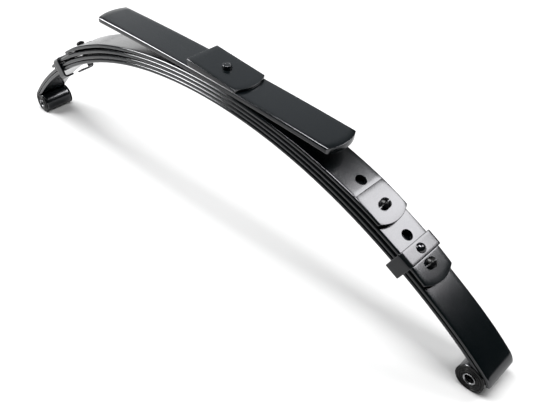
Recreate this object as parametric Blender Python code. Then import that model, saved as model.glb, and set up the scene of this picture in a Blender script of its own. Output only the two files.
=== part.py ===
"""Leaf spring: four arched leaves with rolled eyes, flat overload leaf, wedge
plate, centre bolt, two strap clips and rubber-bushed eyes.  Metres, +Z up.
The arch stands on its two eyes with the convex side up."""
import math

import bmesh
import bpy
import numpy as np
from mathutils import Matrix, Vector

for ob in list(bpy.data.objects):
    bpy.data.objects.remove(ob, do_unlink=True)

# ---------------------------------------------------------------- dimensions
LEAF_WIDTH = 0.0635
LEAF_T = 0.00745            # arched leaves
PITCH = 0.007775            # leaf to leaf at the centre, leaves 0.3 mm clear
OVERLOAD_T = 0.0102
OVERLOAD_GAP = 0.00034
EDGE_R = 0.0026             # rounded mill edge of the leaf bar
TIP_R = 0.055               # plan radius of the convex leaf tips
CLEAR = 0.0003              # gap kept between touching parts

# camber of the wrap leaf's convex face: heading angle against arc length,
# a power series in s / CAMBER_SCALE, measured from the centre bolt
CAMBER_SCALE = 0.6
CAMBER_0 = 0.0127
CAMBER = (0.6901, 0.0965, 0.2180, -0.1604, -0.7160, -0.1442, 0.5531, 0.2802)
OVERLOAD_BEND = 0.0723 / 0.5    # radians per metre

# extra separation between leaves where the tip pads hold them apart
PAD_RISE = 0.00278
PAD_FROM = 0.060
PAD_FULL = 0.320

# arc length from the centre bolt, - is the long (left) half
OVERLOAD_END = (-0.3076, 0.2318)
LEAF4_END = (-0.4810, 0.3345)
LEAF3_END = (-0.5795, 0.4335)
EYE_AT = (-0.7442, 0.5790)
LEAF4_TAPER = (-0.4330, 0.2860)
LEAF3_TAPER = (-0.5510, 0.4050)
LEAF4_DROP = 0.0022
LEAF3_DROP = 0.0016
LEAF4_HOLE = (-0.4175, 0.2710)
LEAF3_HOLE = (-0.5130, 0.3672)
LEAF4_BUTTON = (-0.4635, 0.3172)
LEAF3_BUTTON = (-0.5620, 0.4158)
CLIP_AT = (-0.5380, 0.3922)

WRAP_R = 0.0295             # convex face of the wrap leaf round the eye
EYE_OUT = WRAP_R - PITCH
EYE_BORE = EYE_OUT - LEAF_T
EYE_ROLL = math.radians(308.0)
WRAP_STOP = math.radians(4.0)   # wrap leaf ends this far above eye level

HOLE_R = 0.0082
BUTTON_HOLE_R = 0.0068
BOLT_R = 0.0050
BOLT_HOLE_R = 0.0055
RIVET_R = 0.0045
RIVET_HOLE_R = 0.0050

WEDGE_END = (-0.0592, 0.0497)
WEDGE_TOP = (0.0133, 0.0052)    # height of the wedge top at its two ends
BOLT_HEAD_R = 0.0074
BOLT_HEAD_TOP = 0.0154
SPOT_R = 0.0082             # spot face in the wedge under the bolt head
NUT_AF = 0.0170
NUT_H = 0.0080

CLIP_W = 0.0246
CLIP_T = 0.0038
CLIP_IN = LEAF_WIDTH / 2 + 0.0004
CLIP_FOOT = -0.0286         # lowest face of the clip feet
CLIP_NEAR_TIP = -0.0153
CLIP_FAR_TIP = 0.0055

FLANGE_R = 0.0220
FLANGE_Y = 0.0338
SLEEVE_R = 0.00935
SLEEVE_BORE = 0.00715
SLEEVE_Y = 0.03475

# ------------------------------------------------------------------- camber
_STEP = 0.0005
_S = np.arange(-1600, 1301) * _STEP


def heading(s):
    u = s / CAMBER_SCALE
    return -(CAMBER_0 + sum(c * u ** (i + 1) for i, c in enumerate(CAMBER)))


def integrate(angle, z0):
    th = angle(_S)
    dx = (np.cos(th[1:]) + np.cos(th[:-1])) / 2 * _STEP
    dz = (np.sin(th[1:]) + np.sin(th[:-1])) / 2 * _STEP
    x = np.concatenate([[0.0], np.cumsum(dx)])
    z = np.concatenate([[0.0], np.cumsum(dz)])
    i0 = 1600
    return x - x[i0], z - z[i0] + z0, th


WRAP_Z0 = -(OVERLOAD_T + OVERLOAD_GAP) - 2 * PITCH
BX, BZ, BT = integrate(heading, WRAP_Z0)
OX, OZ, OT = integrate(lambda s: -(CAMBER_0 + OVERLOAD_BEND * s), 0.0)


def curve_point(s, n, X=BX, Z=BZ, T=BT):
    """Seat-frame point n metres outside the given face line at arc length s."""
    x, z, t = (float(np.interp(s, _S, a)) for a in (X, Z, T))
    return x - n * math.sin(t), z + n * math.cos(t)


def eye_centre(k):
    return curve_point(EYE_AT[k], -WRAP_R)


_EL, _ER = eye_centre(0), eye_centre(1)
LEVEL = math.atan2(_ER[1] - _EL[1], _ER[0] - _EL[0])
_C, _N = math.cos(LEVEL), math.sin(LEVEL)


def level(x, z):
    return x * _C + z * _N, -x * _N + z * _C


_ML, _MR = level(*_EL), level(*_ER)
SHIFT_X = -(_ML[0] + _MR[0]) / 2
SHIFT_Z = FLANGE_R - _ML[1]


def world(x, y, z):
    """Seat frame to the finished frame: both eyes level, flanges on z = 0."""
    a, b = level(x, z)
    return Vector((a + SHIFT_X, y, b + SHIFT_Z))


def eye_world(k):
    x, z = eye_centre(k)
    return world(x, 0.0, z)


def normal_angle(k):
    """Seat-frame direction, eye centre to the point where the eye starts."""
    return math.pi / 2 + float(np.interp(EYE_AT[k], _S, BT))


# ------------------------------------------------------------ leaf surfaces
def rise(s):
    u = min(max((abs(s) - PAD_FROM) / (PAD_FULL - PAD_FROM), 0.0), 1.0)
    return PAD_RISE * u ** 1.5


def top3(s):
    return PITCH + rise(s)


def top4(s):
    return 2 * (PITCH + rise(s))


def taper(s, start, end, drop):
    k = 0 if s < 0 else 1
    u = (s - start[k]) / (end[k] - start[k])
    return drop * min(max(u, 0.0), 1.25)


def map_between(s, y, n):
    return world(*_xz(curve_point(s, n), y))


def _xz(p, y):
    return p[0], y, p[1]


def map_leaf3(s, y, n):
    t = taper(s, LEAF3_TAPER, LEAF3_END, LEAF3_DROP)
    return map_between(s, y, top3(s) + n - t * (n + LEAF_T) / LEAF_T)


def map_leaf4(s, y, n):
    t = taper(s, LEAF4_TAPER, LEAF4_END, LEAF4_DROP)
    return map_between(s, y, top4(s) + n - t * (n + LEAF_T) / LEAF_T)


def map_overload(s, y, n):
    return world(*_xz(curve_point(s, n, OX, OZ, OT), y))


def map_rolled(top, radius):
    """Face line at height top over the wrap face, curling round the eyes."""
    def f(s, y, n):
        for k, side in ((0, -1), (1, 1)):
            over = side * (s - EYE_AT[k])
            if over > 0:
                a = normal_angle(k) - side * over / radius
                cx, cz = eye_centre(k)
                r = radius + n
                return world(cx + r * math.cos(a), y, cz + r * math.sin(a))
        return map_between(s, y, top + n)
    return f


# ------------------------------------------------------------- mesh helpers
def material(name, rgb, metallic, rough, coat=0.0):
    m = bpy.data.materials.new(name)
    m.use_nodes = True
    b = m.node_tree.nodes.get("Principled BSDF")
    b.inputs["Base Color"].default_value = (*rgb, 1.0)
    b.inputs["Metallic"].default_value = metallic
    b.inputs["Roughness"].default_value = rough
    b.inputs["Coat Weight"].default_value = coat
    return m


PAINT = (0.018, 0.019, 0.021)
PLASTIC = (0.008, 0.008, 0.009)
RUBBER = (0.030, 0.032, 0.034)
STEEL = (0.62, 0.63, 0.65)


def finish(name, bm, look, origin=None, sharp=32.0):
    """Turn a bmesh in world metres into a named object with its own look."""
    bmesh.ops.remove_doubles(bm, verts=bm.verts, dist=1e-6)
    bmesh.ops.recalc_face_normals(bm, faces=bm.faces)
    vol = bm.calc_volume(signed=True)
    if vol < 0:
        bmesh.ops.reverse_faces(bm, faces=bm.faces)
    if origin is not None:
        bmesh.ops.translate(bm, verts=bm.verts, vec=-Vector(origin))
    me = bpy.data.meshes.new(name)
    bm.to_mesh(me)
    bm.free()
    for p in me.polygons:
        p.use_smooth = True
    me.set_sharp_from_angle(angle=math.radians(sharp))
    ob = bpy.data.objects.new(name, me)
    bpy.context.scene.collection.objects.link(ob)
    if origin is not None:
        ob.location = Vector(origin)
    me.materials.append(material(name + "_look", *look))
    return ob


def temp(name, bm):
    me = bpy.data.meshes.new(name)
    bmesh.ops.recalc_face_normals(bm, faces=bm.faces)
    bm.to_mesh(me)
    bm.free()
    ob = bpy.data.objects.new(name, me)
    bpy.context.scene.collection.objects.link(ob)
    return ob


def boolean(bm, cutters, op="DIFFERENCE"):
    """EXACT boolean of a bmesh with cutter bmeshes, one after the other."""
    ob = temp("body", bm)
    subs = []
    for i, c in enumerate(cutters):
        cu = temp("cutter_%d" % i, c)
        cu.hide_render = True
        cu.display_type = "WIRE"
        m = ob.modifiers.new("b%d" % i, "BOOLEAN")
        m.operation = op
        m.solver = "EXACT"
        m.object = cu
        subs.append(cu)
    dg = bpy.context.evaluated_depsgraph_get()
    me = bpy.data.meshes.new_from_object(ob.evaluated_get(dg))
    out = bmesh.new()
    out.from_mesh(me)
    for o in [ob] + subs:
        d = o.data
        bpy.data.objects.remove(o, do_unlink=True)
        bpy.data.meshes.remove(d)
    bpy.data.meshes.remove(me)
    return out


def drum(x, y, z0, z1, r, seg=20, r1=None):
    bm = bmesh.new()
    rot = Matrix.Translation((x, y, (z0 + z1) / 2))
    bmesh.ops.create_cone(bm, cap_ends=True, segments=seg, radius1=r,
                          radius2=r if r1 is None else r1,
                          depth=z1 - z0, matrix=rot)
    return bm


def box(x0, x1, y0, y1, z0, z1, bm=None):
    bm = bm or bmesh.new()
    m = Matrix.Translation(((x0 + x1) / 2, (y0 + y1) / 2, (z0 + z1) / 2)) @ \
        Matrix.Diagonal((x1 - x0, y1 - y0, z1 - z0, 1.0))
    bmesh.ops.create_cube(bm, size=1.0, matrix=m)
    return bm


def bend(bm, f):
    for v in bm.verts:
        v.co = f(v.co.x, v.co.y, v.co.z)
    return bm


def tip_outline(end, half, radius, side, seg=8):
    """Convex tip, from the -side corner round to the +side corner."""
    if radius is None:
        return [(end, -side * half), (end, side * half)]
    a = math.asin(half / radius)
    out = []
    for i in range(seg + 1):
        b = -a + 2 * a * i / seg
        out.append((end + side * (radius * math.cos(b) - radius * math.cos(a)),
                    side * radius * math.sin(b)))
    return out


def bar(ends, thick, radii, stations, edge=EDGE_R, half=LEAF_WIDTH / 2,
        seg=2, end_edge=None):
    """Flat bar: plan outline, extruded, edges rounded, cut at the stations."""
    pts = tip_outline(ends[1], half, radii[1], 1) + \
        tip_outline(ends[0], half, radii[0], -1)
    bm = bmesh.new()
    face = bm.faces.new([bm.verts.new((x, y, -thick)) for x, y in pts])
    ex = bmesh.ops.extrude_face_region(bm, geom=[face])
    up = [g for g in ex["geom"] if isinstance(g, bmesh.types.BMVert)]
    bmesh.ops.translate(bm, verts=up, vec=(0, 0, thick))
    bmesh.ops.recalc_face_normals(bm, faces=bm.faces)
    rim = [e for e in bm.edges
           if abs(e.verts[0].co.z - e.verts[1].co.z) < 1e-7]
    long_e = [e for e in rim if abs(abs(e.verts[0].co.y) - half) < 1e-7
              and abs(abs(e.verts[1].co.y) - half) < 1e-7
              and abs(e.verts[0].co.x - e.verts[1].co.x) > 1e-4]
    bmesh.ops.bevel(bm, geom=long_e, offset=edge, segments=seg, profile=0.5,
                    affect="EDGES", clamp_overlap=True)
    for s in stations:
        bmesh.ops.bisect_plane(bm, geom=bm.verts[:] + bm.edges[:] + bm.faces[:],
                               plane_co=(s, 0, 0), plane_no=(1, 0, 0),
                               dist=1e-6)
    return bm


def steps(a, b, pitch):
    n = max(1, round((b - a) / pitch))
    return [a + (b - a) * i / n for i in range(1, n)]


def revolve(profile, seg, matrix):
    """Closed or axis-to-axis profile (r, h) turned round local Z."""
    bm = bmesh.new()
    closed = profile[0][0] > 1e-9 and profile[-1][0] > 1e-9
    rings = []
    for r, h in profile:
        if r < 1e-9:
            rings.append([bm.verts.new((0, 0, h))])
        else:
            rings.append([bm.verts.new((r * math.cos(2 * math.pi * i / seg),
                                        r * math.sin(2 * math.pi * i / seg), h))
                          for i in range(seg)])
    pairs = list(zip(rings[:-1], rings[1:]))
    if closed:
        pairs.append((rings[-1], rings[0]))
    for a, b in pairs:
        for i in range(seg):
            j = (i + 1) % seg
            quad = [a[i % len(a)], a[j % len(a)], b[j % len(b)], b[i % len(b)]]
            uniq = []
            for v in quad:
                if v not in uniq:
                    uniq.append(v)
            bm.faces.new(uniq)
    bmesh.ops.transform(bm, matrix=matrix, verts=bm.verts)
    return bm


def frame_at(s, n=0.0, X=BX, Z=BZ, T=BT):
    """World matrix at arc length s: X along the leaf, Y across, Z outward."""
    x, z = curve_point(s, n, X, Z, T)
    t = float(np.interp(s, _S, T)) - LEVEL
    ex = Vector((math.cos(t), 0, math.sin(t)))
    ez = Vector((-math.sin(t), 0, math.cos(t)))
    ey = Vector((0, 1, 0))
    m = Matrix((ex, ey, ez)).transposed().to_4x4()
    m.translation = world(x, 0.0, z)
    return m


PAINT_LOOK = (PAINT, 0.25, 0.34, 0.3)

# ------------------------------------------------------------------- leaves
# main leaf: rolled into an eye at both ends
roll = EYE_OUT * EYE_ROLL
main_ends = (EYE_AT[0] - roll, EYE_AT[1] + roll)
main_stations = steps(EYE_AT[0], EYE_AT[1], 0.032) + [EYE_AT[0], EYE_AT[1]] + \
    [EYE_AT[0] - roll * i / 26 for i in range(1, 26)] + \
    [EYE_AT[1] + roll * i / 26 for i in range(1, 26)]
bm = bar(main_ends, LEAF_T, (None, None), main_stations)
bm = boolean(bm, [drum(0, 0, -0.02, 0.01, BOLT_HOLE_R, 16)])
finish("main_leaf", bend(bm, map_rolled(-PITCH, EYE_OUT)), PAINT_LOOK)

# wrap leaf: full length, curled part of the way round both eyes
wrap_len = []
for k, side in ((0, -1), (1, 1)):
    stop = (math.pi - WRAP_STOP if k == 0 else WRAP_STOP) + LEVEL
    wrap_len.append(side * (normal_angle(k) - stop) * WRAP_R)
wrap_ends = (EYE_AT[0] - wrap_len[0], EYE_AT[1] + wrap_len[1])
wrap_stations = steps(EYE_AT[0], EYE_AT[1], 0.032) + [EYE_AT[0], EYE_AT[1]] + \
    [EYE_AT[0] - wrap_len[0] * i / 7 for i in range(1, 7)] + \
    [EYE_AT[1] + wrap_len[1] * i / 7 for i in range(1, 7)]
bm = bar(wrap_ends, LEAF_T, (None, None), wrap_stations)
bm = boolean(bm, [drum(0, 0, -0.02, 0.01, BOLT_HOLE_R, 16)])
finish("second_leaf", bend(bm, map_rolled(0.0, WRAP_R)), PAINT_LOOK)


def tapered_leaf(name, ends, kinks, holes, mapping):
    st = [e for e in steps(ends[0], ends[1], 0.032)
          if min(abs(e - k) for k in kinks) > 0.008] + list(kinks)
    b = bar(ends, LEAF_T, (TIP_R, TIP_R), st)
    cut = [drum(s, 0, -0.02, 0.01, r, 16 if r < 0.006 else 20)
           for s, r in holes]
    b = boolean(b, cut)
    return finish(name, bend(b, mapping), PAINT_LOOK)


tapered_leaf("third_leaf", LEAF3_END, LEAF3_TAPER,
             [(0.0, BOLT_HOLE_R)] + [(s, HOLE_R) for s in LEAF3_HOLE] +
             [(s, BUTTON_HOLE_R) for s in LEAF3_BUTTON] +
             [(s, RIVET_HOLE_R) for s in CLIP_AT], map_leaf3)
tapered_leaf("fourth_leaf", LEAF4_END, LEAF4_TAPER,
             [(0.0, BOLT_HOLE_R)] + [(s, HOLE_R) for s in LEAF4_HOLE] +
             [(s, BUTTON_HOLE_R) for s in LEAF4_BUTTON], map_leaf4)

bm = bar(OVERLOAD_END, OVERLOAD_T, (TIP_R, TIP_R),
         steps(OVERLOAD_END[0], OVERLOAD_END[1], 0.055))
bm = boolean(bm, [drum(0, 0, -0.02, 0.01, BOLT_HOLE_R, 16)])
finish("overload_leaf", bend(bm, map_overload), PAINT_LOOK)

# ------------------------------------------------- wedge, centre bolt, nut
M0 = frame_at(0.0, 0.0, OX, OZ, OT)
slope = (WEDGE_TOP[1] - WEDGE_TOP[0]) / (WEDGE_END[1] - WEDGE_END[0])


def wedge_height(s):
    return WEDGE_TOP[0] + slope * (s - WEDGE_END[0])


low = OVERLOAD_GAP
bm = bar(WEDGE_END, 0.010, (None, TIP_R), [], edge=0.0009, seg=1)
for v in bm.verts:
    u = (v.co.z + 0.010) / 0.010
    v.co.z = low + u * (wedge_height(v.co.x) - low)
spot = wedge_height(SPOT_R) - 0.0002
bm = boolean(bm, [drum(0, 0, -0.01, 0.02, BOLT_HOLE_R, 16),
                  drum(0, 0, spot, 0.03, SPOT_R, 24)])
bmesh.ops.transform(bm, matrix=M0, verts=bm.verts)
finish("wedge_plate", bm, PAINT_LOOK)

stack = -WRAP_Z0 + PITCH + LEAF_T       # overload top down to the concave face
head_low = spot + CLEAR
nut_top = -stack - CLEAR
bolt = [(0, BOLT_HEAD_TOP), (BOLT_HEAD_R - 0.0009, BOLT_HEAD_TOP),
        (BOLT_HEAD_R, BOLT_HEAD_TOP - 0.0009), (BOLT_HEAD_R, head_low),
        (BOLT_R, head_low), (BOLT_R, nut_top - NUT_H - 0.0040),
        (BOLT_R - 0.0008, nut_top - NUT_H - 0.0048),
        (0, nut_top - NUT_H - 0.0048)]
finish("center_bolt", revolve(bolt, 20, M0), (PAINT, 0.25, 0.34, 0.2))

bm = drum(0, 0, nut_top - NUT_H, nut_top, NUT_AF / math.sqrt(3), 6)
bm = boolean(bm, [drum(0, 0, nut_top - 0.02, nut_top + 0.01,
                       BOLT_R + CLEAR, 20)])
bmesh.ops.transform(bm, matrix=M0, verts=bm.verts)
finish("center_nut", bm, ((0.20, 0.20, 0.21), 1.0, 0.38))


# --------------------------------------------- tip pads with split buttons
def tip_pad(name, button, lo, hi, under, upper_t):
    """Pad between two leaves; its split button stands up through the upper
    leaf.  under(s): face height of the lower leaf over the wrap face."""
    half = 0.0275
    pad_t = 0.0021
    b = bar((lo, hi), pad_t, (None, None), [], edge=0.0005, half=half, seg=1)
    bmesh.ops.translate(b, verts=b.verts, vec=(0, 0, pad_t + CLEAR))
    s0 = button
    seat = pad_t + CLEAR            # pad top over the lower leaf
    leaf_top = max(upper_t(s0 + d) - under(s0 + d) for d in (-0.0084, 0.0084))
    h = leaf_top + CLEAR
    stem = BUTTON_HOLE_R - 0.0006
    prof = [(0, seat - 0.0010), (stem, seat - 0.0010), (stem, h),
            (0.0080, h + 0.0006), (0.0082, h + 0.0034), (0.0073, h + 0.0049),
            (0.0052, h + 0.0062), (0.0024, h + 0.0071), (0.0024, h + 0.0012),
            (0, h + 0.0012)]
    stud = revolve(prof, 20, Matrix.Translation((s0, 0, 0)))
    slot = 0.0008
    r = 0.011
    z0, z1 = h + 0.0002, h + 0.012
    cuts = [box(s0 - r, s0 + r, -slot, slot, z0, z1),
            box(s0 - slot, s0 + slot, -r, r, z0, z1)]
    stud = boolean(stud, cuts)
    b = boolean(b, [stud], "UNION")
    return finish(name, bend(b, lambda s, y, n:
                             map_between(s, y, under(s) + n)),
                  (PLASTIC, 0.0, 0.30))


def leaf4_top(s):
    return top4(s) - taper(s, LEAF4_TAPER, LEAF4_END, LEAF4_DROP)


def leaf3_top(s):
    return top3(s) - taper(s, LEAF3_TAPER, LEAF3_END, LEAF3_DROP)


tip_pad("right_pad_under_fourth", LEAF4_BUTTON[1], 0.2960, 0.3350,
        top3, leaf4_top)
tip_pad("left_pad_under_fourth", LEAF4_BUTTON[0], -0.4815, -0.4425,
        top3, leaf4_top)
tip_pad("right_pad_under_third", LEAF3_BUTTON[1], 0.4035, 0.4340,
        lambda s: 0.0, leaf3_top)
tip_pad("left_pad_under_third", LEAF3_BUTTON[0], -0.5800, -0.5495,
        lambda s: 0.0, leaf3_top)


# ---------------------------------------------------------- clips, rivets
def arc(cx, cy, r, a0, a1, n):
    return [(cx + r * math.cos(a0 + (a1 - a0) * i / n),
             cy + r * math.sin(a0 + (a1 - a0) * i / n)) for i in range(n + 1)]


def clip_outline(strap_low):
    """Closed outline in the (across, outward) plane."""
    ri, t, q = 0.0028, CLIP_T, math.pi / 2
    ro = ri + t
    yi, zt, zb = CLIP_IN, strap_low, CLIP_FOOT + t
    outer = [(CLIP_NEAR_TIP, zb - t)] + \
        arc(-yi + ri, zb + ri, ro, -q, -2 * q, 5) + \
        arc(-yi + ri, zt - ri, ro, 2 * q, q, 5) + \
        arc(yi - ri, zt - ri, ro, q, 0, 5) + \
        arc(yi - ri, zb + ri, ro, 0, -q, 5) + [(CLIP_FAR_TIP, zb - t)]
    inner = [(CLIP_FAR_TIP, zb)] + \
        arc(yi - ri, zb + ri, ri, -q, 0, 5) + \
        arc(yi - ri, zt - ri, ri, 0, q, 5) + \
        arc(-yi + ri, zt - ri, ri, q, 2 * q, 5) + \
        arc(-yi + ri, zb + ri, ri, -2 * q, -q, 5) + [(CLIP_NEAR_TIP, zb)]
    return outer, inner


def strap_clip(name, s0):
    low = top3(s0) + CLEAR
    outer, inner = clip_outline(low)
    b = bmesh.new()
    n = len(outer)
    ring = []
    for x in (-CLIP_W / 2, CLIP_W / 2):
        o = [b.verts.new((x, y, z)) for y, z in outer]
        i = [b.verts.new((x, y, z)) for y, z in reversed(inner)]
        ring.append((o, i))
    (o0, i0), (o1, i1) = ring
    for k in range(n - 1):
        b.faces.new((o0[k], o0[k + 1], i0[k + 1], i0[k]))
        b.faces.new((o1[k], i1[k], i1[k + 1], o1[k + 1]))
        b.faces.new((o0[k], o1[k], o1[k + 1], o0[k + 1]))
        b.faces.new((i0[k], i0[k + 1], i1[k + 1], i1[k]))
    b.faces.new((o0[0], i0[0], i1[0], o1[0]))
    b.faces.new((o0[-1], o1[-1], i1[-1], i0[-1]))
    bmesh.ops.recalc_face_normals(b, faces=b.faces)
    rim = [e for e in b.edges if len(e.link_faces) == 2 and
           abs(e.verts[0].co.x - e.verts[1].co.x) < 1e-7 and
           e.calc_face_angle() > 1.2]
    bmesh.ops.bevel(b, geom=rim, offset=0.0006, segments=1, profile=0.5,
                    affect="EDGES", clamp_overlap=True)
    b = boolean(b, [drum(0, 0, low - 0.01, low + 0.01, RIVET_HOLE_R, 16)])
    bmesh.ops.transform(b, matrix=frame_at(s0), verts=b.verts)
    return finish(name, b, PAINT_LOOK)


def clip_rivet(name, s0):
    top = top3(s0) + CLEAR + CLIP_T + CLEAR
    low = top3(s0) - LEAF_T - CLEAR
    hr, hh = 0.0078, 0.0052
    ball = (hr * hr + hh * hh) / (2 * hh)
    a1 = math.asin(min(1.0, hr / ball))
    dome = [(ball * math.sin(a1 * i / 6),
             top + hh - ball + ball * math.cos(a1 * i / 6)) for i in range(7)]
    prof = dome + [(RIVET_R, top), (RIVET_R, low), (0.0072, low),
                   (0.0066, low - 0.0018), (0, low - 0.0018)]
    return finish(name, revolve(prof, 20, frame_at(s0)),
                  (PAINT, 0.3, 0.16, 0.5))


for k, side in ((0, "left"), (1, "right")):
    strap_clip(side + "_clip", CLIP_AT[k])
    clip_rivet(side + "_clip_rivet", CLIP_AT[k])


# ------------------------------------------------------- bushes and sleeves
def bush_half(name, k, side):
    """Rubber half bush: tube in the eye, ribbed flange outside it."""
    ri, ro = SLEEVE_R + CLEAR, EYE_BORE - CLEAR
    y_in, y_leaf = 0.0002, LEAF_WIDTH / 2 + CLEAR
    f = FLANGE_Y
    prof = [(ri, y_in), (ro, y_in), (ro, y_leaf), (FLANGE_R - 0.0006, y_leaf),
            (FLANGE_R, y_leaf + 0.0006), (FLANGE_R, f - 0.0008),
            (FLANGE_R - 0.0008, f), (0.0178, f), (0.0171, f - 0.0006),
            (0.0146, f - 0.0006), (0.0139, f), (0.0115, f),
            (0.0108, f - 0.0005), (ri, f - 0.0005)]
    c = eye_world(k)
    m = Matrix.Translation(c) @ Matrix.Rotation(-side * math.pi / 2, 4, "X")
    return finish(name, revolve(prof, 28, m), (RUBBER, 0.0, 0.62))


def eye_sleeve(name, k):
    b, r, y = SLEEVE_BORE, SLEEVE_R, SLEEVE_Y
    c = 0.0005
    prof = [(b + c, -y), (r - c, -y), (r, -y + c), (r, y - c), (r - c, y),
            (b + c, y), (b, y - c), (b, -y + c)]
    m = Matrix.Translation(eye_world(k)) @ \
        Matrix.Rotation(-math.pi / 2, 4, "X")
    return finish(name, revolve(prof, 28, m), (STEEL, 1.0, 0.28),
                  origin=eye_world(k))


for k, side in ((0, "left"), (1, "right")):
    bush_half(side + "_bush_near", k, -1)
    bush_half(side + "_bush_far", k, 1)
    eye_sleeve(side + "_sleeve", k)
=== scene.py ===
"""Looks for the leaf spring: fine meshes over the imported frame, procedural
materials, pale floor, soft studio light, camera."""
import math

import bmesh
import bpy
import numpy as np
from mathutils import Matrix, Vector

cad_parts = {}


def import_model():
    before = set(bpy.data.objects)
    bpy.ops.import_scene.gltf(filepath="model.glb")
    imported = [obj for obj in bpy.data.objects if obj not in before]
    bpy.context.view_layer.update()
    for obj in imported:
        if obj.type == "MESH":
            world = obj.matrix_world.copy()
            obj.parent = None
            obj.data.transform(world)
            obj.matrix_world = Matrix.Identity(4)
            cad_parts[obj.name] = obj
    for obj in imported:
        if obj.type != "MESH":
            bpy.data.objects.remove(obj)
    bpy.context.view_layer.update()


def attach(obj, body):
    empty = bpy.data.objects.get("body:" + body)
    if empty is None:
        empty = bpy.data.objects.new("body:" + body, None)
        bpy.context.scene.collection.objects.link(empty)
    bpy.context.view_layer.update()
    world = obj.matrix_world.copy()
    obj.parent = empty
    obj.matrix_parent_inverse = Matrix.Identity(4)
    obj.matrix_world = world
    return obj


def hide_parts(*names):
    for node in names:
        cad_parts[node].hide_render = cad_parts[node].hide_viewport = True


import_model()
PACK = "spring_pack"

# ------------------------------------------------ dimensions, as in the CAD
LEAF_WIDTH = 0.0635
LEAF_T = 0.00745
PITCH = 0.007775
OVERLOAD_T = 0.0102
OVERLOAD_GAP = 0.00034
EDGE_R = 0.0030
TIP_R = 0.055
CLEAR = 0.0003
SPOT_R = 0.0082
CAMBER_SCALE = 0.6
CAMBER_0 = 0.0127
CAMBER = (0.6901, 0.0965, 0.2180, -0.1604, -0.7160, -0.1442, 0.5531, 0.2802)
OVERLOAD_BEND = 0.0723 / 0.5
PAD_RISE = 0.00278
PAD_FROM = 0.060
PAD_FULL = 0.320
OVERLOAD_END = (-0.3076, 0.2318)
LEAF4_END = (-0.4810, 0.3345)
LEAF3_END = (-0.5795, 0.4335)
EYE_AT = (-0.7442, 0.5790)
LEAF4_TAPER = (-0.4330, 0.2860)
LEAF3_TAPER = (-0.5510, 0.4050)
LEAF4_DROP = 0.0022
LEAF3_DROP = 0.0016
LEAF4_HOLE = (-0.4175, 0.2710)
LEAF3_HOLE = (-0.5130, 0.3672)
LEAF4_BUTTON = (-0.4635, 0.3172)
LEAF3_BUTTON = (-0.5620, 0.4158)
CLIP_AT = (-0.5380, 0.3922)
WRAP_R = 0.0295
EYE_OUT = WRAP_R - PITCH
EYE_BORE = EYE_OUT - LEAF_T
EYE_ROLL = math.radians(308.0)
WRAP_STOP = math.radians(4.0)
HOLE_R = 0.0082
BUTTON_HOLE_R = 0.0068
BOLT_R = 0.0050
BOLT_HOLE_R = 0.0055
RIVET_R = 0.0045
RIVET_HOLE_R = 0.0050
WEDGE_END = (-0.0592, 0.0497)
WEDGE_TOP = (0.0133, 0.0052)
BOLT_HEAD_R = 0.0074
BOLT_HEAD_TOP = 0.0154
NUT_AF = 0.0170
NUT_H = 0.0080
CLIP_W = 0.0246
CLIP_T = 0.0038
CLIP_IN = LEAF_WIDTH / 2 + 0.0004
CLIP_FOOT = -0.0286
CLIP_NEAR_TIP = -0.0153
CLIP_FAR_TIP = 0.0055
FLANGE_R = 0.0220
FLANGE_Y = 0.0338
SLEEVE_R = 0.00935
SLEEVE_BORE = 0.00715
SLEEVE_Y = 0.03475

# ------------------------------------------------------------------- camber
_STEP = 0.0005
_S = np.arange(-1600, 1301) * _STEP


def heading(s):
    u = s / CAMBER_SCALE
    return -(CAMBER_0 + sum(c * u ** (i + 1) for i, c in enumerate(CAMBER)))


def integrate(angle, z0):
    th = angle(_S)
    dx = (np.cos(th[1:]) + np.cos(th[:-1])) / 2 * _STEP
    dz = (np.sin(th[1:]) + np.sin(th[:-1])) / 2 * _STEP
    x = np.concatenate([[0.0], np.cumsum(dx)])
    z = np.concatenate([[0.0], np.cumsum(dz)])
    return x - x[1600], z - z[1600] + z0, th


WRAP_Z0 = -(OVERLOAD_T + OVERLOAD_GAP) - 2 * PITCH
BASE = integrate(heading, WRAP_Z0)
OVER = integrate(lambda s: -(CAMBER_0 + OVERLOAD_BEND * s), 0.0)


def curve_point(s, n, curve=BASE):
    x, z, t = (float(np.interp(s, _S, a)) for a in curve)
    return x - n * math.sin(t), z + n * math.cos(t)


def eye_centre(k):
    return curve_point(EYE_AT[k], -WRAP_R)


_EL, _ER = eye_centre(0), eye_centre(1)
LEVEL = math.atan2(_ER[1] - _EL[1], _ER[0] - _EL[0])
_C, _N = math.cos(LEVEL), math.sin(LEVEL)


def level(x, z):
    return x * _C + z * _N, -x * _N + z * _C


_ML, _MR = level(*_EL), level(*_ER)
SHIFT_X = -(_ML[0] + _MR[0]) / 2
SHIFT_Z = FLANGE_R - _ML[1]


def world(x, y, z):
    a, b = level(x, z)
    return Vector((a + SHIFT_X, y, b + SHIFT_Z))


def eye_world(k):
    x, z = eye_centre(k)
    return world(x, 0.0, z)


def normal_angle(k):
    return math.pi / 2 + float(np.interp(EYE_AT[k], _S, BASE[2]))


def rise(s):
    u = min(max((abs(s) - PAD_FROM) / (PAD_FULL - PAD_FROM), 0.0), 1.0)
    return PAD_RISE * u ** 1.5


def top3(s):
    return PITCH + rise(s)


def top4(s):
    return 2 * (PITCH + rise(s))


def taper(s, start, end, drop):
    k = 0 if s < 0 else 1
    u = (s - start[k]) / (end[k] - start[k])
    return drop * min(max(u, 0.0), 1.25)


def notch(s, at):
    """Shallow press mark across the leaf where the taper starts."""
    d = min(abs(s - a) for a in at)
    return 0.00016 * max(0.0, 1.0 - d / 0.0007)


def map_between(s, y, n):
    x, z = curve_point(s, n)
    return world(x, y, z)


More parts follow.
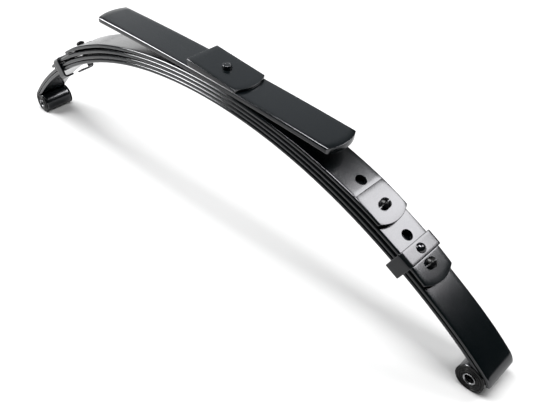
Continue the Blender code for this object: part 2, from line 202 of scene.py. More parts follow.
def map_leaf3(s, y, n):
    t = taper(s, LEAF3_TAPER, LEAF3_END, LEAF3_DROP) + notch(s, LEAF3_TAPER)
    return map_between(s, y, top3(s) + n - t * (n + LEAF_T) / LEAF_T)


def map_leaf4(s, y, n):
    t = taper(s, LEAF4_TAPER, LEAF4_END, LEAF4_DROP) + notch(s, LEAF4_TAPER)
    return map_between(s, y, top4(s) + n - t * (n + LEAF_T) / LEAF_T)


def map_overload(s, y, n):
    x, z = curve_point(s, n, OVER)
    return world(x, y, z)


def map_rolled(top, radius):
    def f(s, y, n):
        for k, side in ((0, -1), (1, 1)):
            over = side * (s - EYE_AT[k])
            if over > 0:
                a = normal_angle(k) - side * over / radius
                cx, cz = eye_centre(k)
                r = radius + n
                return world(cx + r * math.cos(a), y, cz + r * math.sin(a))
        return map_between(s, y, top + n)
    return f


def frame_at(s, n=0.0, curve=BASE):
    x, z = curve_point(s, n, curve)
    t = float(np.interp(s, _S, curve[2])) - LEVEL
    ex = Vector((math.cos(t), 0, math.sin(t)))
    ez = Vector((-math.sin(t), 0, math.cos(t)))
    m = Matrix((ex, Vector((0, 1, 0)), ez)).transposed().to_4x4()
    m.translation = world(x, 0.0, z)
    return m


# ---------------------------------------------------------------- materials
class Nodes:
    """Small helper to build a material's node tree."""

    def __init__(self, name):
        self.mat = bpy.data.materials.new(name)
        self.mat.use_nodes = True
        self.t = self.mat.node_tree
        self.bsdf = self.t.nodes["Principled BSDF"]
        self.co = self.t.nodes.new("ShaderNodeTexCoord").outputs["Object"]

    def link(self, a, b):
        self.t.links.new(a, b)
        return self

    def noise(self, scale, detail=3.0, rough=0.55, stretch=None):
        n = self.t.nodes.new("ShaderNodeTexNoise")
        n.inputs["Scale"].default_value = scale
        n.inputs["Detail"].default_value = detail
        n.inputs["Roughness"].default_value = rough
        src = self.co
        if stretch:
            m = self.t.nodes.new("ShaderNodeMapping")
            m.inputs["Scale"].default_value = stretch
            self.link(src, m.inputs["Vector"])
            src = m.outputs["Vector"]
        self.link(src, n.inputs["Vector"])
        return n.outputs["Fac"]

    def ramp(self, fac, stops):
        r = self.t.nodes.new("ShaderNodeValToRGB")
        e = r.color_ramp.elements
        while len(e) > 1:
            e.remove(e[-1])
        e[0].position, e[0].color = stops[0][0], (*stops[0][1], 1.0)
        for p, c in stops[1:]:
            x = e.new(p)
            x.color = (*c, 1.0)
        self.link(fac, r.inputs["Fac"])
        return r.outputs["Color"]

    def span(self, fac, a, b, lo=0.3, hi=0.7):
        m = self.t.nodes.new("ShaderNodeMapRange")
        m.inputs["From Min"].default_value = lo
        m.inputs["From Max"].default_value = hi
        m.inputs["To Min"].default_value = a
        m.inputs["To Max"].default_value = b
        self.link(fac, m.inputs["Value"])
        return m.outputs["Result"]

    def math(self, op, a, b):
        m = self.t.nodes.new("ShaderNodeMath")
        m.operation = op
        for i, v in enumerate((a, b)):
            if isinstance(v, (int, float)):
                m.inputs[i].default_value = v
            else:
                self.link(v, m.inputs[i])
        return m.outputs[0]

    def bump(self, height, distance, strength=1.0, after=None):
        b = self.t.nodes.new("ShaderNodeBump")
        b.inputs["Distance"].default_value = distance
        b.inputs["Strength"].default_value = strength
        self.link(height, b.inputs["Height"])
        if after is not None:
            self.link(after, b.inputs["Normal"])
        return b.outputs["Normal"]

    def put(self, **kw):
        for k, v in kw.items():
            s = self.bsdf.inputs[k.replace("_", " ")]
            if hasattr(v, "is_output"):
                self.link(v, s)
            else:
                s.default_value = v
        return self


def paint_material(name, lo, hi, r0, r1, peel=1.0):
    """Black chassis paint over hot-rolled bar: faint mill scale unevenness
    under the film, orange peel, slight cloudiness in gloss and tone, a
    thinner, duller film on the rolled sides and a glossier one where it
    pulled tight round the corners."""
    m = Nodes(name)
    cloud = m.noise(9.0, 4.0, 0.6)
    fine = m.noise(520.0, 2.0, 0.5)
    dust = m.noise(2300.0, 2.0, 0.7)
    m.put(Base_Color=m.ramp(cloud, [(0.30, lo), (0.70, hi)]))
    xyz = m.t.nodes.new("ShaderNodeSeparateXYZ")
    m.link(m.t.nodes["Texture Coordinate"].outputs["Normal"], xyz.inputs[0])
    lean = m.math("ABSOLUTE", xyz.outputs["Y"], 0.0)
    side = m.span(lean, 0.0, 1.0, 0.86, 0.99)
    corner = m.math("MULTIPLY", m.span(lean, 0.0, 1.0, 0.22, 0.40),
                    m.span(lean, 1.0, 0.0, 0.84, 0.96))
    rr = m.math("ADD", m.span(cloud, r0, r1), m.span(dust, -0.025, 0.045))
    rr = m.math("ADD", rr, m.math("MULTIPLY", side, 0.10))
    rr = m.math("SUBTRACT", rr, m.math("MULTIPLY", corner, 0.07))
    level_ = m.math("ADD", m.span(side, 0.5, 0.30, 0.0, 1.0),
                    m.math("MULTIPLY", corner, 0.35))
    m.put(Roughness=rr, Metallic=0.0, IOR=1.5, Specular_IOR_Level=level_,
          Specular_Tint=(0.965, 0.96, 1.0, 1.0))
    scale_ = m.bump(m.noise(95.0, 3.0, 0.5), 0.00008, 0.35 * peel)
    m.put(Normal=m.bump(fine, 0.00002, 0.35 * peel, scale_))
    return m.mat


def plastic_material(name):
    m = Nodes(name)
    cloud = m.noise(160.0, 3.0, 0.5)
    m.put(Base_Color=m.ramp(cloud, [(0.3, (0.0008, 0.0009, 0.0011)),
                                    (0.7, (0.0018, 0.0019, 0.0022))]),
          Roughness=m.span(m.noise(700.0), 0.20, 0.32), IOR=1.5,
          Specular_IOR_Level=0.26)
    m.put(Normal=m.bump(m.noise(1500.0), 0.00002, 0.4))
    return m.mat


def rubber_material(name):
    m = Nodes(name)
    cloud = m.noise(70.0, 5.0, 0.6)
    m.put(Base_Color=m.ramp(cloud, [(0.28, (0.0016, 0.0017, 0.0018)),
                                    (0.72, (0.0050, 0.0052, 0.0055))]),
          Roughness=m.span(m.noise(400.0), 0.34, 0.55), IOR=1.45,
          Specular_IOR_Level=m.span(m.noise(240.0, 3.0), 0.12, 0.26))
    m.put(Normal=m.bump(m.noise(1400.0, 4.0), 0.00005, 0.5))
    return m.mat


def steel_material(name, tone=1.0):
    """Turned tube: fine rings round the axis, faint cloudy oxide."""
    m = Nodes(name)
    cloud = m.noise(60.0, 4.0, 0.6)
    a, b = 0.20 * tone, 0.34 * tone
    m.put(Base_Color=m.ramp(cloud, [(0.3, (a, a, a * 1.02)),
                                    (0.7, (b, b * 1.005, b * 1.03))]),
          Metallic=1.0)
    m.put(Roughness=m.span(m.noise(300.0, 3.0, 0.5, (1, 22, 1)), 0.20, 0.36))
    m.put(Normal=m.bump(m.noise(120.0, 2.0, 0.5, (1, 26, 1)), 0.00003, 0.5))
    return m.mat


PAINT = paint_material("chassis_black", (0.0007, 0.0017, 0.0021),
                       (0.0017, 0.0028, 0.0033), 0.16, 0.23)
PAINT_CLIP = paint_material("chassis_black_clip", (0.0014, 0.0022, 0.0026),
                            (0.0034, 0.0042, 0.0046), 0.18, 0.28, 1.3)
PAINT_RIVET = paint_material("chassis_black_rivet", (0.0012, 0.0018, 0.0022),
                             (0.0026, 0.0034, 0.0038), 0.08, 0.14, 0.6)
PLASTIC = plastic_material("button_plastic")
RUBBER = rubber_material("bush_rubber_dark")
STEEL = steel_material("sleeve_steel_turned")
NUT = steel_material("nut_phosphate", 0.42)

# ------------------------------------------------------------- mesh helpers


def show(name, bm, mat, body=PACK, nodes=(), sharp=35.0, bevel=None):
    """Named piece from a bmesh in world metres, riding on its body."""
    bmesh.ops.remove_doubles(bm, verts=bm.verts, dist=1e-6)
    bmesh.ops.recalc_face_normals(bm, faces=bm.faces)
    if bm.calc_volume(signed=True) < 0:
        bmesh.ops.reverse_faces(bm, faces=bm.faces)
    me = bpy.data.meshes.new(name)
    bm.to_mesh(me)
    bm.free()
    for p in me.polygons:
        p.use_smooth = True
    me.set_sharp_from_angle(angle=math.radians(sharp))
    ob = bpy.data.objects.new(name, me)
    bpy.context.scene.collection.objects.link(ob)
    me.materials.append(mat)
    if bevel:
        m = ob.modifiers.new("soft_edges", "BEVEL")
        m.width, m.segments, m.limit_method = bevel, 2, "ANGLE"
        m.angle_limit = math.radians(38)
        m.harden_normals = False
    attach(ob, body)
    if nodes:
        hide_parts(*nodes)
    return ob


def temp(name, bm):
    me = bpy.data.meshes.new(name)
    bmesh.ops.recalc_face_normals(bm, faces=bm.faces)
    bm.to_mesh(me)
    bm.free()
    ob = bpy.data.objects.new(name, me)
    bpy.context.scene.collection.objects.link(ob)
    return ob


def boolean(bm, cutters, op="DIFFERENCE"):
    ob = temp("body", bm)
    subs = []
    for i, c in enumerate(cutters):
        cu = temp("cutter_%d" % i, c)
        m = ob.modifiers.new("b%d" % i, "BOOLEAN")
        m.operation, m.solver, m.object = op, "EXACT", cu
        subs.append(cu)
    dg = bpy.context.evaluated_depsgraph_get()
    me = bpy.data.meshes.new_from_object(ob.evaluated_get(dg))
    out = bmesh.new()
    out.from_mesh(me)
    for o in [ob] + subs:
        d = o.data
        bpy.data.objects.remove(o, do_unlink=True)
        bpy.data.meshes.remove(d)
    bpy.data.meshes.remove(me)
    return out


def revolve(profile, seg, matrix):
    bm = bmesh.new()
    closed = profile[0][0] > 1e-9 and profile[-1][0] > 1e-9
    rings = []
    for r, h in profile:
        if r < 1e-9:
            rings.append([bm.verts.new((0, 0, h))])
        else:
            rings.append([bm.verts.new((r * math.cos(2 * math.pi * i / seg),
                                        r * math.sin(2 * math.pi * i / seg), h))
                          for i in range(seg)])
    pairs = list(zip(rings[:-1], rings[1:]))
    if closed:
        pairs.append((rings[-1], rings[0]))
    for a, b in pairs:
        for i in range(seg):
            j = (i + 1) % seg
            quad = []
            for v in (a[i % len(a)], a[j % len(a)], b[j % len(b)],
                      b[i % len(b)]):
                if v not in quad:
                    quad.append(v)
            bm.faces.new(quad)
    bmesh.ops.transform(bm, matrix=matrix, verts=bm.verts)
    return bm


def fillet(profile, radii, seg=4, closed=True):
    """Round the corners of a polyline profile; radii by index."""
    out = []
    n = len(profile)
    for i, p in enumerate(profile):
        r = radii.get(i, 0.0) if isinstance(radii, dict) else radii
        if r <= 0 or (not closed and i in (0, n - 1)):
            out.append(p)
            continue
        a, b = Vector(profile[i - 1]), Vector(profile[(i + 1) % n])
        c = Vector(p)
        u, v = (a - c), (b - c)
        lu, lv = u.length, v.length
        u, v = u / lu, v / lv
        ang = u.angle(v)
        if ang > math.radians(176):
            out.append(p)
            continue
        d = min(r / math.tan(ang / 2), 0.48 * lu, 0.48 * lv)
        rr = d * math.tan(ang / 2)
        bis = (u + v).normalized()
        cen = c + bis * (rr / math.sin(ang / 2))
        s, e = c + u * d, c + v * d
        for k in range(seg + 1):
            t = k / seg
            m = (s - cen).lerp(e - cen, t).normalized() * rr
            out.append(tuple(cen + m))
    return out


def box(x0, x1, y0, y1, z0, z1, bm=None):
    bm = bm or bmesh.new()
    m = Matrix.Translation(((x0 + x1) / 2, (y0 + y1) / 2, (z0 + z1) / 2)) @ \
        Matrix.Diagonal((x1 - x0, y1 - y0, z1 - z0, 1.0))
    bmesh.ops.create_cube(bm, size=1.0, matrix=m)
    return bm


def arc_steps(a, b, n):
    return [a + (b - a) * i / n for i in range(n + 1)]


def section(half, thick, edge, across=10, seg=5):
    """Upper and lower chain of the rounded bar section, left to right."""
    y0 = half - edge
    up, low = [], []
    for i in range(seg, 0, -1):
        a = math.pi / 2 * i / seg
        up.append((-y0 - edge * math.sin(a), -edge + edge * math.cos(a)))
        low.append((-y0 - edge * math.sin(a), -thick + edge - edge * math.cos(a)))
    for y in arc_steps(-y0, y0, across):
        up.append((y, 0.0))
        low.append((y, -thick))
    for i in range(1, seg + 1):
        a = math.pi / 2 * i / seg
        up.append((y0 + edge * math.sin(a), -edge + edge * math.cos(a)))
        low.append((y0 + edge * math.sin(a), -thick + edge - edge * math.cos(a)))
    return up, low


def loft(ends, thick, radii, stations, mapping, edge=EDGE_R,
         half=LEAF_WIDTH / 2, rim=0.0007, cuts=(), across=10, seg=5,
         tip_zone=0.030):
    """Rounded bar lofted along s with convex or square ends, softened end
    rims and holes, then carried onto its curve by mapping(s, y, n)."""
    up, low = section(half, thick, edge, across, seg)
    ring = up + low[::-1]
    m = len(up)

    def bulge(k, y):
        r = radii[k]
        if r is None:
            return 0.0
        return math.sqrt(r * r - y * y) - math.sqrt(r * r - half * half)

    rows = []
    q = 4
    for j in range(q + 1):        # left rim, from the cap inwards
        a = math.pi / 2 * j / q
        rows.append((ends[0] + rim * (1 - math.cos(a)),
                     rim * (1 - math.sin(a)), 0))
    mid = [s for s in stations if ends[0] + rim * 2 < s < ends[1] - rim * 2]
    for s in sorted(set(round(v, 6) for v in mid)):
        rows.append((s, 0.0, None))
    for j in range(q, -1, -1):
        a = math.pi / 2 * j / q
        rows.append((ends[1] - rim * (1 - math.cos(a)),
                     rim * (1 - math.sin(a)), 1))
    bm = bmesh.new()
    grid = []
    for s, shrink, k in rows:
        line = []
        for y, n in ring:
            yy, nn = y, n
            if shrink:
                c = (max(-half + edge, min(half - edge, y)),
                     max(-thick + edge, min(-edge, n)))
                if abs(y) >= half - edge - 1e-9:
                    d = Vector((y - c[0], n - c[1]))
                    if d.length > 1e-9:
                        d = d.normalized() * shrink
                        yy, nn = y - d[0], n - d[1]
                else:
                    nn = n - shrink if n > -thick / 2 else n + shrink
            ss = s
            for kk, sign in ((0, -1), (1, 1)):
                if radii[kk] is None:
                    continue
                dist = abs(s - ends[kk])
                f = 1.0 if k == kk else max(0.0, 1.0 - dist / tip_zone)
                if k is not None and k != kk:
                    f = 0.0
                ss += sign * f * bulge(kk, yy)
            line.append(bm.verts.new((ss, yy, nn)))
        grid.append(line)
    L = len(ring)
    for a, b in zip(grid[:-1], grid[1:]):
        for i in range(L):
            j = (i + 1) % L
            bm.faces.new((a[i], a[j], b[j], b[i]))
    for line in (grid[0], grid[-1]):
        u, lo = line[:m], line[m:][::-1]
        for i in range(m - 1):
            bm.faces.new((u[i], u[i + 1], lo[i + 1], lo[i]))
    bmesh.ops.recalc_face_normals(bm, faces=bm.faces)
    if cuts:
        bm = boolean(bm, cuts)
    for v in bm.verts:
        v.co = mapping(v.co.x, v.co.y, v.co.z)
    return bm


def hole(s, r, thick, cham=0.0006, seg=48):
    """Cutter for a round hole with a small countersink on both faces."""
    z0, z1 = -thick, 0.0
    prof = [(0, z0 - 0.002), (r + cham + 0.002, z0 - 0.002), (r, z0 + cham),
            (r, z1 - cham), (r + cham + 0.002, z1 + 0.002), (0, z1 + 0.002)]
    return revolve(prof, seg, Matrix.Translation((s, 0, 0)))


def spread(a, b, pitch, extra=(), avoid=0.0):
    n = max(1, round((b - a) / pitch))
    base = [a + (b - a) * i / n for i in range(1, n)]
    keep = [v for v in base if all(abs(v - e) > avoid for e in extra)]
    return keep + list(extra)


# ------------------------------------------------------------------- leaves
roll = EYE_OUT * EYE_ROLL
st = spread(EYE_AT[0], EYE_AT[1], 0.008) + [EYE_AT[0], EYE_AT[1]] + \
    [EYE_AT[0] - roll * i / 84 for i in range(1, 84)] + \
    [EYE_AT[1] + roll * i / 84 for i in range(1, 84)]
show("main_leaf_rolled_eyes",
     loft((EYE_AT[0] - roll, EYE_AT[1] + roll), LEAF_T, (None, None), st,
          map_rolled(-PITCH, EYE_OUT),
          cuts=[hole(0.0, BOLT_HOLE_R, LEAF_T, 0.0004, 32)]),
     PAINT, nodes=["main_leaf"])

wrap_len = []
for k, side in ((0, -1), (1, 1)):
    stop = (math.pi - WRAP_STOP if k == 0 else WRAP_STOP) + LEVEL
    wrap_len.append(side * (normal_angle(k) - stop) * WRAP_R)
st = spread(EYE_AT[0], EYE_AT[1], 0.008) + [EYE_AT[0], EYE_AT[1]] + \
    [EYE_AT[0] - wrap_len[0] * i / 14 for i in range(1, 14)] + \
    [EYE_AT[1] + wrap_len[1] * i / 14 for i in range(1, 14)]
show("second_leaf_wrap",
     loft((EYE_AT[0] - wrap_len[0], EYE_AT[1] + wrap_len[1]), LEAF_T,
          (None, None), st, map_rolled(0.0, WRAP_R),
          cuts=[hole(0.0, BOLT_HOLE_R, LEAF_T, 0.0004, 32)]),
     PAINT, nodes=["second_leaf"])


def kinked(ends, kinks):
    extra = []
    for k in kinks:
        extra += [k - 0.0008, k - 0.0004, k, k + 0.0004, k + 0.0008]
    return spread(ends[0], ends[1], 0.008, extra, 0.0025)


show("third_leaf_tapered",
     loft(LEAF3_END, LEAF_T, (TIP_R, TIP_R), kinked(LEAF3_END, LEAF3_TAPER),
          map_leaf3,
          cuts=[hole(0.0, BOLT_HOLE_R, LEAF_T, 0.0004, 32)] +
          [hole(s, HOLE_R, LEAF_T) for s in LEAF3_HOLE] +
          [hole(s, BUTTON_HOLE_R, LEAF_T) for s in LEAF3_BUTTON] +
          [hole(s, RIVET_HOLE_R, LEAF_T, 0.0003, 32) for s in CLIP_AT]),
     PAINT, nodes=["third_leaf"])
show("fourth_leaf_tapered",
     loft(LEAF4_END, LEAF_T, (TIP_R, TIP_R), kinked(LEAF4_END, LEAF4_TAPER),
          map_leaf4,
          cuts=[hole(0.0, BOLT_HOLE_R, LEAF_T, 0.0004, 32)] +
          [hole(s, HOLE_R, LEAF_T) for s in LEAF4_HOLE] +
          [hole(s, BUTTON_HOLE_R, LEAF_T) for s in LEAF4_BUTTON]),
     PAINT, nodes=["fourth_leaf"])
show("overload_leaf_flat",
     loft(OVERLOAD_END, OVERLOAD_T, (TIP_R, TIP_R),
          spread(OVERLOAD_END[0], OVERLOAD_END[1], 0.012), map_overload,
          edge=0.0031, rim=0.0010,
          cuts=[hole(0.0, BOLT_HOLE_R, OVERLOAD_T, 0.0004, 32)]),
     PAINT, nodes=["overload_leaf"])

# ------------------------------------------------- wedge, centre bolt, nut
M0 = frame_at(0.0, 0.0, OVER)
slope = (WEDGE_TOP[1] - WEDGE_TOP[0]) / (WEDGE_END[1] - WEDGE_END[0])


def wedge_height(s):
    return WEDGE_TOP[0] + slope * (s - WEDGE_END[0])


def map_wedge(s, y, n):
    u = (n + 0.010) / 0.010
    return Vector((s, y, OVERLOAD_GAP + u * (wedge_height(s) - OVERLOAD_GAP)))


spot = wedge_height(SPOT_R) - 0.0002
bm = loft(WEDGE_END, 0.010, (None, TIP_R),
          spread(WEDGE_END[0], WEDGE_END[1], 0.012), map_wedge,
          edge=0.0011, rim=0.0008, seg=4, tip_zone=0.06)
bm = boolean(bm, [
    revolve([(0, -0.004), (BOLT_HOLE_R, -0.004), (BOLT_HOLE_R, 0.03), (0, 0.03)],
            48, Matrix.Identity(4)),
    revolve([(0, spot), (SPOT_R - 0.0003, spot), (SPOT_R, spot + 0.0003),
             (SPOT_R, 0.03), (0, 0.03)], 64, Matrix.Identity(4))])
bmesh.ops.transform(bm, matrix=M0, verts=bm.verts)
show("wedge_plate_shim", bm, PAINT, nodes=["wedge_plate"])

stack = -WRAP_Z0 + PITCH + LEAF_T
head_low = spot + CLEAR
nut_top = -stack - CLEAR
end = nut_top - NUT_H - 0.0048
head = fillet([(0.0, BOLT_HEAD_TOP - 0.0006), (0.0040, BOLT_HEAD_TOP - 0.0006),
               (0.0046, BOLT_HEAD_TOP), (BOLT_HEAD_R, BOLT_HEAD_TOP),
               (BOLT_HEAD_R, head_low), (BOLT_R, head_low),
               (BOLT_R, nut_top + 0.0004)],
              {1: 0.0004, 2: 0.0003, 3: 0.0010, 4: 0.0004}, 4, False)
z, thread = nut_top + 0.0004, []
while z > end + 0.0016:
    thread += [(BOLT_R, z), (BOLT_R - 0.00065, z - 0.000625)]
    z -= 0.00125
thread += [(BOLT_R, z), (BOLT_R - 0.0010, end), (0.0, end)]
show("center_bolt_headed", revolve(head[:-1] + thread, 48, M0), PAINT,
     nodes=["center_bolt"], sharp=40)


def hex_nut():
    b = bmesh.new()
    bmesh.ops.create_cone(b, cap_ends=True, segments=6,
                          radius1=NUT_AF / math.sqrt(3),
                          radius2=NUT_AF / math.sqrt(3), depth=NUT_H,
                          matrix=Matrix.Translation((0, 0, nut_top - NUT_H / 2)))
    r, h = NUT_AF / 2, NUT_H / 2
    c = nut_top - h
    R = NUT_AF / math.sqrt(3)
    lens = [(0, c + h + 0.001), (r * 0.97, c + h + 0.001), (r * 0.97, c + h),
            (R + 0.001, c + h - 0.0015), (R + 0.001, c - h + 0.0015),
            (r * 0.97, c - h), (r * 0.97, c - h - 0.001), (0, c - h - 0.001)]
    b = boolean(b, [revolve(lens, 64, Matrix.Identity(4))], "INTERSECT")
    bore = [(0, c - h - 0.002), (BOLT_R + 0.0018, c - h - 0.002),
            (BOLT_R + CLEAR, c - h + 0.0007), (BOLT_R + CLEAR, c + h - 0.0007),
            (BOLT_R + 0.0018, c + h + 0.002), (0, c + h + 0.002)]
    return boolean(b, [revolve(bore, 48, Matrix.Identity(4))])


bm = hex_nut()
bmesh.ops.transform(bm, matrix=M0, verts=bm.verts)
show("center_nut_hex", bm, NUT, nodes=["center_nut"], sharp=25)


# --------------------------------------------- tip pads with split buttons
def leaf4_top(s):
    return top4(s) - taper(s, LEAF4_TAPER, LEAF4_END, LEAF4_DROP)


def leaf3_top(s):
    return top3(s) - taper(s, LEAF3_TAPER, LEAF3_END, LEAF3_DROP)


def tip_pad(name, node, button, lo, hi, under, upper_t):
    half, pad_t = 0.0275, 0.0021

    def carry(s, y, n):
        return map_between(s, y, under(s) + n)

    bm = loft((lo, hi), pad_t, (None, None), spread(lo, hi, 0.006),
              lambda s, y, n: Vector((s, y, n + pad_t + CLEAR)), edge=0.0006,
              half=half, rim=0.0005, across=6, seg=3)
    seat = pad_t + CLEAR
    leaf_top = max(upper_t(button + d) - under(button + d)
                   for d in (-0.0084, 0.0084))
    h = leaf_top + CLEAR
    stem = BUTTON_HOLE_R - 0.0006
    ball, crest, bore = 0.0118, h + 0.0073, 0.0022

    def crown(r):
        return crest - ball + math.sqrt(ball * ball - r * r)

    prof = [(0, seat - 0.0010), (stem, seat - 0.0010), (stem, h),
            (0.0076, h + 0.0002), (0.0080, h + 0.0007), (0.0082, h + 0.0020)]
    prof += [(r, crown(r)) for r in (0.0081, 0.0077, 0.0069, 0.0059, 0.0049,
                                     0.0039, 0.0030, bore)]
    prof += [(bore, h - 0.0025), (0, h - 0.0025)]
    stud = revolve(prof, 56, Matrix.Translation((button, 0, 0)))
    sl, r = 0.0008, 0.011
    z0, z1 = h - 0.0010, h + 0.012
    stud = boolean(stud, [box(button - r, button + r, -sl, sl, z0, z1),
                          box(button - sl, button + sl, -r, r, z0, z1)])
    bm = boolean(bm, [stud], "UNION")
    for v in bm.verts:
        v.co = carry(v.co.x, v.co.y, v.co.z)
    show(name, bm, PLASTIC, nodes=[node], sharp=32,
         bevel=0.00018)


tip_pad("right_pad_button_fourth", "right_pad_under_fourth", LEAF4_BUTTON[1],
        0.2960, 0.3350, top3, leaf4_top)
tip_pad("left_pad_button_fourth", "left_pad_under_fourth", LEAF4_BUTTON[0],
        -0.4815, -0.4425, top3, leaf4_top)
tip_pad("right_pad_button_third", "right_pad_under_third", LEAF3_BUTTON[1],
        0.4035, 0.4340, lambda s: 0.0, leaf3_top)
tip_pad("left_pad_button_third", "left_pad_under_third", LEAF3_BUTTON[0],
        -0.5800, -0.5495, lambda s: 0.0, leaf3_top)


# ---------------------------------------------------------- clips, rivets
def clip_path(low):
    """Outer face line of the bent strap in (across, outward), near foot tip
    first, with its outward normals and running length."""
    ri, t, q = 0.0028, CLIP_T, math.pi / 2
    ro = ri + t
    yi, zt, zb = CLIP_IN, low, CLIP_FOOT + t
    pts = [((CLIP_NEAR_TIP, zb - t), (0, -1))]
    for cy, cz, a0 in ((-yi + ri, zb + ri, -q), (-yi + ri, zt - ri, -2 * q),
                       (yi - ri, zt - ri, q), (yi - ri, zb + ri, 0.0)):
        for i in range(11):
            a = a0 - q * i / 10
            d = (math.cos(a), math.sin(a))
            pts.append(((cy + ro * d[0], cz + ro * d[1]), d))
    pts.append(((CLIP_FAR_TIP, zb - t), (0, -1)))
    run = [0.0]
    for (a, _), (b, _) in zip(pts[:-1], pts[1:]):
        run.append(run[-1] + math.hypot(b[0] - a[0], b[1] - a[1]))
    return pts, run


def strap_clip(name, node, s0):
    low = top3(s0) + CLEAR
    pts, run = clip_path(low)
    ys = np.array([p[0][0] for p in pts])
    zs = np.array([p[0][1] for p in pts])
    dy = np.array([p[1][0] for p in pts])
    dz = np.array([p[1][1] for p in pts])
    M = frame_at(s0)

    def on(u, w, n):
        d = Vector((float(np.interp(u, run, dy)), float(np.interp(u, run, dz))))
        d.normalize()
        return Vector((w, float(np.interp(u, run, ys)) + n * d[0],
                       float(np.interp(u, run, zs)) + n * d[1]))

    stations = list(run[1:-1])
    for a, b in zip(run[:-1], run[1:]):
        stations += spread(a, b, 0.006) if b - a > 0.009 else []
    bm = loft((0.0, run[-1]), CLIP_T, (None, None), stations, on, edge=0.0008,
              half=CLIP_W / 2, rim=0.0006, across=6, seg=3)
    mid = revolve([(0, low - 0.006), (RIVET_HOLE_R, low - 0.006),
                   (RIVET_HOLE_R, low + 0.008), (0, low + 0.008)], 40,
                  Matrix.Identity(4))
    bm = boolean(bm, [mid])
    bmesh.ops.transform(bm, matrix=M, verts=bm.verts)
    show(name, bm, PAINT_CLIP, nodes=[node])


def clip_rivet(name, node, s0):
    top = top3(s0) + CLEAR + CLIP_T + CLEAR
    low = top3(s0) - LEAF_T - CLEAR
    hr, hh = 0.0078, 0.0052
    ball = (hr * hr + hh * hh) / (2 * hh)
    a1 = math.asin(min(1.0, hr / ball))
    prof = [(ball * math.sin(a1 * i / 16) if i else 0.0,
             top + hh - ball + ball * math.cos(a1 * i / 16))
            for i in range(17)]
    prof[-1] = (hr, top + 0.0004)
    prof += [(hr - 0.0004, top), (RIVET_R, top), (RIVET_R, low), (0.0072, low),
             (0.0070, low - 0.0010), (0.0060, low - 0.0018), (0, low - 0.0018)]
    show(name, revolve(prof, 56, frame_at(s0)), PAINT_RIVET,
         nodes=[node])


for k, side in ((0, "left"), (1, "right")):
    strap_clip(side + "_strap_clip", side + "_clip", CLIP_AT[k])
    clip_rivet(side + "_domed_rivet", side + "_clip_rivet", CLIP_AT[k])


# ------------------------------------------------------- bushes and sleeves
def bush_half(name, node, k, side):
    ri, ro = SLEEVE_R + CLEAR, EYE_BORE - CLEAR
    y_in, y_leaf, f = 0.0002, LEAF_WIDTH / 2 + CLEAR, FLANGE_Y
    prof = [(ri, y_in), (ro, y_in), (ro, y_leaf), (FLANGE_R, y_leaf),
            (FLANGE_R, f), (0.0194, f), (0.0188, f - 0.0012),
            (0.0176, f - 0.0012), (0.0170, f - 0.0001), (0.0158, f - 0.0001),
            (0.0152, f - 0.0012), (0.0140, f - 0.0012), (0.0134, f),
            (0.0122, f), (0.0114, f - 0.0014), (ri, f - 0.0014)]
    prof = fillet(prof, {0: 0.0003, 1: 0.0004, 3: 0.0005, 4: 0.0007,
                         5: 0.0003, 6: 0.0003, 7: 0.0003, 8: 0.0003,
                         9: 0.0003, 10: 0.0003, 11: 0.0003, 12: 0.0003,
                         13: 0.0003, 14: 0.0003, 15: 0.0003}, 3)
    m = Matrix.Translation(eye_world(k)) @ \
        Matrix.Rotation(-side * math.pi / 2, 4, "X")
    show(name, revolve(prof, 84, m), RUBBER, nodes=[node],
         sharp=50)


def eye_sleeve(name, node, k, body):
    b, r, y, c = SLEEVE_BORE, SLEEVE_R, SLEEVE_Y, 0.0012
    prof = fillet([(b, c - y), (b + c, -y), (r, -y), (r, y), (b + c, y),
                   (b, y - c)], {0: 0.0004, 1: 0.0003, 2: 0.0005, 3: 0.0005,
                                 4: 0.0003, 5: 0.0004}, 3)
    m = Matrix.Translation(eye_world(k)) @ Matrix.Rotation(-math.pi / 2, 4, "X")
    show(name, revolve(prof, 84, m), STEEL, body=body,
         nodes=[node], sharp=50)


for k, side in ((0, "left"), (1, "right")):
    bush_half(side + "_rubber_bush_near", side + "_bush_near", k, -1)
    bush_half(side + "_rubber_bush_far", side + "_bush_far", k, 1)
    eye_sleeve(side + "_steel_sleeve", side + "_sleeve", k,
               side + "_eye_sleeve")

# -------------------------------------------------------------------- stage
bm = bmesh.new()
bmesh.ops.create_grid(bm, x_segments=2, y_segments=2, size=9.0)
me = bpy.data.meshes.new("floor")
bm.to_mesh(me)
bm.free()
floor = bpy.data.objects.new("floor", me)
bpy.context.scene.collection.objects.link(floor)
fl = bpy.data.materials.new("pale_floor")
fl.use_nodes = True
fb = fl.node_tree.nodes["Principled BSDF"]
fb.inputs["Base Color"].default_value = (0.52, 0.52, 0.52, 1.0)
fb.inputs["Roughness"].default_value = 0.9
fb.inputs["Specular IOR Level"].default_value = 0.0
me.materials.append(fl)

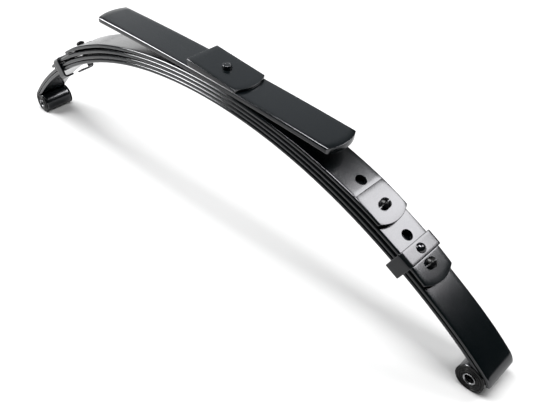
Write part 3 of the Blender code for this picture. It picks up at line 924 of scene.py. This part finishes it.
sc = bpy.context.scene
sc.view_settings.view_transform = "Standard"
sc.view_settings.look = "None"
world_ = bpy.data.worlds.new("studio")
sc.world = world_
world_.use_nodes = True
bg = world_.node_tree.nodes["Background"]
bg.inputs["Color"].default_value = (0.85, 0.92, 1.0, 1.0)
bg.inputs["Strength"].default_value = 0.02


def softbox(name, at, aim, size, radiance, color=(1, 1, 1)):
    """Rectangular soft light; radiance is what a mirror would show of it."""
    li = bpy.data.lights.new(name, "AREA")
    li.shape = "RECTANGLE"
    li.size, li.size_y = size
    li.energy = radiance * math.pi * size[0] * size[1]
    li.color = color
    ob = bpy.data.objects.new(name, li)
    sc.collection.objects.link(ob)
    ob.location = at
    d = Vector(aim) - Vector(at)
    ob.rotation_mode = "QUATERNION"
    ob.rotation_quaternion = d.to_track_quat("-Z", "Y")
    return ob


def from_point(p, az, el, dist):
    a, e = math.radians(az), math.radians(el)
    return (p[0] + dist * math.cos(e) * math.cos(a),
            p[1] + dist * math.cos(e) * math.sin(a), p[2] + dist * math.sin(e))


P = (0.40, 0.0, 0.21)
Q = (0.0, 0.0, 0.30)
softbox("key_back_right", from_point(P, 61.5, 45.5, 2.6), P, (1.2, 1.12), 16.8)
softbox("key_spill", from_point(P, 83, 46, 2.6), P, (0.55, 1.0), 1.1)
softbox("overhead_strip", (0.0, 0.0, 3.4), (0.0, 0.0, 0.0), (2.6, 1.15), 18.0)
softbox("left_front", from_point(Q, 209, 29, 3.0), Q, (1.7, 1.1), 20.0)
softbox("fill_back_left", from_point(Q, 132, 34, 3.2), Q, (2.2, 1.6), 0.62,
        (0.92, 0.96, 1.0))
softbox("horizon_left", from_point(Q, 154, 8, 3.6), Q, (2.8, 1.5), 1.7)

# ------------------------------------------------------------------- camera
cam = bpy.data.cameras.new("camera")
cam.sensor_width = 36.0
cam.lens = 42.131
camo = bpy.data.objects.new("camera", cam)
sc.collection.objects.link(camo)
R = Vector((0.708555, 0.704223, -0.044949))
U = Vector((-0.415319, 0.467676, 0.78025))
F = Vector((-0.570491, 0.534181, -0.623851))
cm = Matrix((R, U, -F)).transposed().to_4x4()
cm.translation = (0.79228, -0.57690, 0.76535)
camo.matrix_world = cm
cam.clip_start, cam.clip_end = 0.01, 60.0
sc.camera = camo
